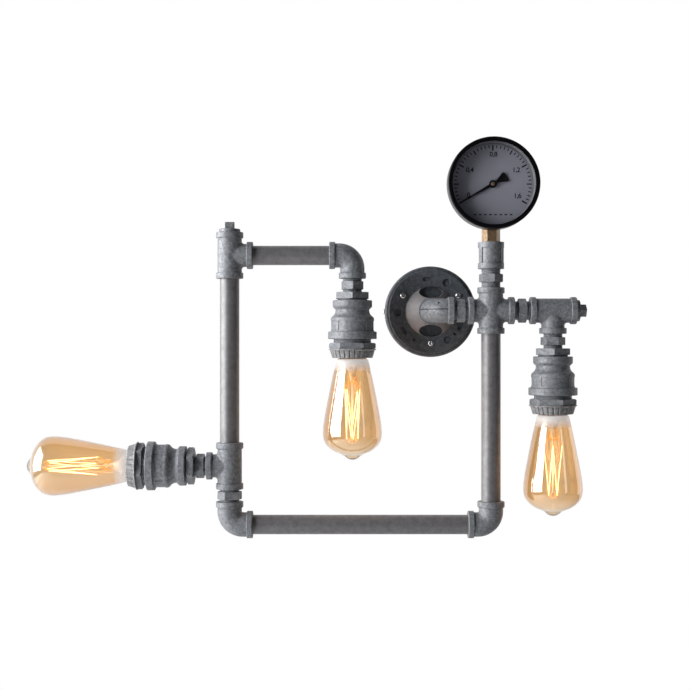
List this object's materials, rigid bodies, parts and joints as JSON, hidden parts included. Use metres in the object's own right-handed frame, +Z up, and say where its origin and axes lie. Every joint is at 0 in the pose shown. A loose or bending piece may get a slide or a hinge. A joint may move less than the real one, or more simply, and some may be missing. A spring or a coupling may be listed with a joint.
{
  "type": "wall light",
  "caption": "Industrial wall light of galvanised half-inch pipe and fittings, with amber squirrel-cage bulbs and a pressure gauge.",
  "frame": {"origin": "middle of the wall bracket's back face, on the wall", "axes": "+Z up, +X to the viewer's right along the wall, +Y into the wall; the light stands out towards -Y"},
  "size_m": [0.6152, 0.0945, 0.4372],
  "materials": {
    "galvanised_iron": "dull galvanised, mottled",
    "zinc_plate": "zinc plated",
    "grey_cast_plate": "dark grey, satin, slightly rough",
    "screw_steel": "bright plated",
    "white_plastic": "moulded",
    "flex_rubber": "matt sheath",
    "ceramic": "glazed",
    "brass": "turned, slightly dull",
    "nickel_cap": "nickel plated",
    "amber_glass": "clear amber",
    "filament_glow": "glowing filament on a glass stem",
    "ring_iron": "grey fluted",
    "case_grey": "satin grey",
    "bezel_black": "semi-matt black",
    "gauge_glass": "clear",
    "dial_grey": "matt printed dial",
    "pointer_black": "matt black"
  },
  "bodies": {
    "wall_frame": {"wall_bracket": "zinc_plate", "canopy_cup": "grey_cast_plate", "flange_plate": "grey_cast_plate", "canopy_screws": "screw_steel", "terminal_block": "white_plastic", "frame_flex": "flex_rubber", "frame_nipples": "galvanised_iron", "wall_elbow": "galvanised_iron", "cross": "galvanised_iron", "gauge_coupling": "galvanised_iron", "right_pipe": "galvanised_iron", "lower_right_elbow": "galvanised_iron", "bottom_pipe": "galvanised_iron", "lower_left_elbow": "galvanised_iron", "left_tee": "galvanised_iron", "left_pipe": "galvanised_iron", "top_left_tee": "galvanised_iron", "top_left_plug": "galvanised_iron", "top_pipe": "galvanised_iron", "left_upper_bushing": "galvanised_iron", "left_reducing_socket": "galvanised_iron", "left_lower_bushing": "galvanised_iron", "left_lampholder": "ceramic", "left_screw_shell": "brass", "left_shade_ring": "ring_iron"},
    "middle_arm": {"top_elbow": "galvanised_iron", "middle_nipple": "galvanised_iron", "middle_upper_bushing": "galvanised_iron", "middle_reducing_socket": "galvanised_iron", "middle_lower_bushing": "galvanised_iron", "middle_lampholder": "ceramic", "middle_screw_shell": "brass", "middle_shade_ring": "ring_iron"},
    "right_arm": {"right_tee": "galvanised_iron", "right_plug": "galvanised_iron", "right_nipple": "galvanised_iron", "right_upper_bushing": "galvanised_iron", "right_reducing_socket": "galvanised_iron", "right_lower_bushing": "galvanised_iron", "right_lampholder": "ceramic", "right_screw_shell": "brass", "right_shade_ring": "ring_iron"},
    "gauge": {"gauge_stem": "brass", "gauge_case": "case_grey", "gauge_bezel": "bezel_black", "gauge_window": "gauge_glass", "gauge_dial": "dial_grey", "gauge_movement": "brass", "bourdon_tube": "brass"},
    "gauge_hand": {"gauge_pointer": "pointer_black"},
    "gauge_sector": {"sector_gear": "brass"},
    "middle_cap": {"middle_bulb_cap": "nickel_cap"},
    "middle_bulb": {"middle_bulb_glass": "amber_glass", "middle_filament": "filament_glow"},
    "right_cap": {"right_bulb_cap": "nickel_cap"},
    "right_bulb": {"right_bulb_glass": "amber_glass", "right_filament": "filament_glow"},
    "left_cap": {"left_bulb_cap": "nickel_cap"},
    "left_bulb": {"left_bulb_glass": "amber_glass", "left_filament": "filament_glow"}
  },
  "joints": [
    {"name": "right_lamp_swivel", "type": "hinge", "parent": "wall_frame", "child": "right_arm", "pos_m": [0.0637, -0.0615, 0], "axis": [-1, 0, 0], "range_deg": [0, 90]},
    {"name": "middle_lamp_swivel", "type": "hinge", "parent": "wall_frame", "child": "middle_arm", "pos_m": [-0.0888, -0.0615, 0.0607], "axis": [-1, 0, 0], "range_deg": [0, 90]},
    {"name": "gauge_swivel", "type": "hinge", "parent": "wall_frame", "child": "gauge", "pos_m": [0.0637, -0.0615, 0.137], "axis": [0, 0, 1], "range_deg": [-90, 90]},
    {"name": "sector_turn", "type": "hinge", "parent": "gauge", "child": "gauge_sector", "pos_m": [0.0637, -0.0615, 0.1106], "axis": [0, -1, 0], "range_deg": [0, 24], "stiffness_Nm_per_rad": 0.01, "springref_deg": -5.73},
    {"name": "pointer_turn", "type": "hinge", "parent": "gauge", "child": "gauge_hand", "pos_m": [0.0637, -0.0615, 0.137], "axis": [0, 1, 0], "range_deg": [0, 240]},
    {"name": "middle_bulb_travel", "type": "slide", "parent": "middle_arm", "child": "middle_cap", "axis": [0, 0, -1], "range_m": [0, 0.02011]},
    {"name": "middle_bulb_turn", "type": "hinge", "parent": "middle_cap", "child": "middle_bulb", "pos_m": [-0.0888, -0.0615, -0.0393], "axis": [0, 0, -1], "range_deg": [0, 2000]},
    {"name": "right_bulb_travel", "type": "slide", "parent": "right_arm", "child": "right_cap", "axis": [0, 0, -1], "range_m": [0, 0.02011]},
    {"name": "right_bulb_turn", "type": "hinge", "parent": "right_cap", "child": "right_bulb", "pos_m": [0.1319, -0.0615, -0.1], "axis": [0, 0, -1], "range_deg": [0, 2000]},
    {"name": "left_bulb_travel", "type": "slide", "parent": "wall_frame", "child": "left_cap", "axis": [-1, 0, 0], "range_m": [0, 0.02011]},
    {"name": "left_bulb_turn", "type": "hinge", "parent": "left_cap", "child": "left_bulb", "pos_m": [-0.3238, -0.0615, -0.1708], "axis": [-1, 0, 0], "range_deg": [0, 2000]}
  ],
  "couplings": [
    {"joint": "pointer_turn", "follows": "sector_turn", "ratio": 10},
    {"joint": "middle_bulb_travel", "follows": "middle_bulb_turn", "m_per_rad": 0.00057614},
    {"joint": "right_bulb_travel", "follows": "right_bulb_turn", "m_per_rad": 0.00057614},
    {"joint": "left_bulb_travel", "follows": "left_bulb_turn", "m_per_rad": 0.00057614}
  ]
}
